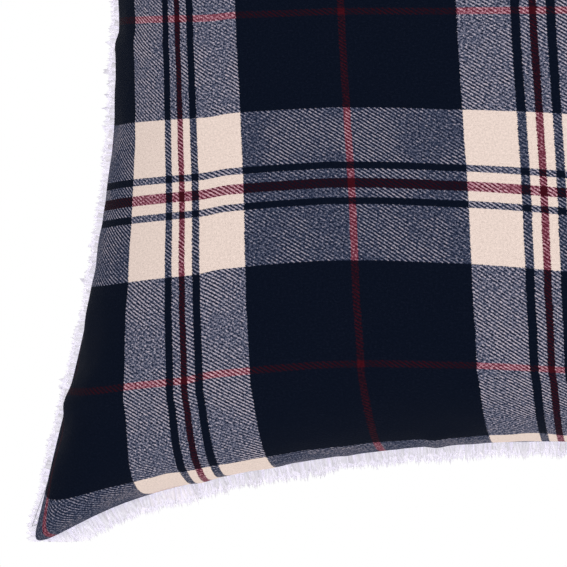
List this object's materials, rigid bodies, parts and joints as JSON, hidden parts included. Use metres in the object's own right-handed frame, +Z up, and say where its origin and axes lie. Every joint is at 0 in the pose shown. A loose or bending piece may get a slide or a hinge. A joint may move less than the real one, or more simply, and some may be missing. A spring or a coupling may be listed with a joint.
{
  "type": "square throw cushion",
  "caption": "Plump square throw cushion with a plaid flannel face, a white pile back that fringes past the seam, a zip in the bottom seam and a stuffed inner pad.",
  "frame": {"origin": "on the ground under the middle of the cushion, which stands on its two lower corners", "axes": "+X across the cushion, +Y out of the pile back, -Y out of the plaid face, +Z up"},
  "size_m": [0.488, 0.212, 0.488],
  "materials": {
    "plaid_twill": "brushed 2/2 twill, navy, cream and red plaid",
    "pile_cloth": "white sherpa pile",
    "sewing_thread": "spun polyester thread, navy",
    "zip_tape": "woven polyester tape, navy",
    "zip_coil": "polyester coil, navy",
    "zip_metal": "nickel-plated zinc",
    "pad_cotton": "plain white cotton",
    "polyester_fill": "hollow fibre",
    "label_satin": "satin ribbon, blank"
  },
  "bodies": {
    "cover": {"front_panel": "plaid_twill", "back_panel": "pile_cloth", "seam_thread": "sewing_thread", "overlock_thread": "sewing_thread", "zip_tape_front": "zip_tape", "zip_tape_back": "zip_tape", "zip_coil_front": "zip_coil", "zip_coil_back": "zip_coil", "zip_top_stops": "zip_metal", "zip_bottom_stop": "zip_metal", "zip_stitching": "sewing_thread", "bar_tacks": "sewing_thread", "pad_shell_front": "pad_cotton", "pad_shell_back": "pad_cotton", "pad_fill": "polyester_fill", "pad_closing_stitch": "sewing_thread", "care_label": "label_satin"},
    "slider": {"slider_body": "zip_metal", "slider_crown": "zip_metal"},
    "pull": {"pull_tab": "zip_metal"}
  },
  "joints": [
    {"name": "zip_slide", "type": "hinge", "parent": "cover", "child": "slider", "pos_m": [0, 0, -0.64427], "axis": [0, -1, 0], "range_deg": [0, 23.8]},
    {"name": "pull_swing", "type": "hinge", "parent": "slider", "child": "pull", "pos_m": [0.14265, 0, 0.03038], "axis": [0, 1, 0], "range_deg": [-70, 70]}
  ]
}
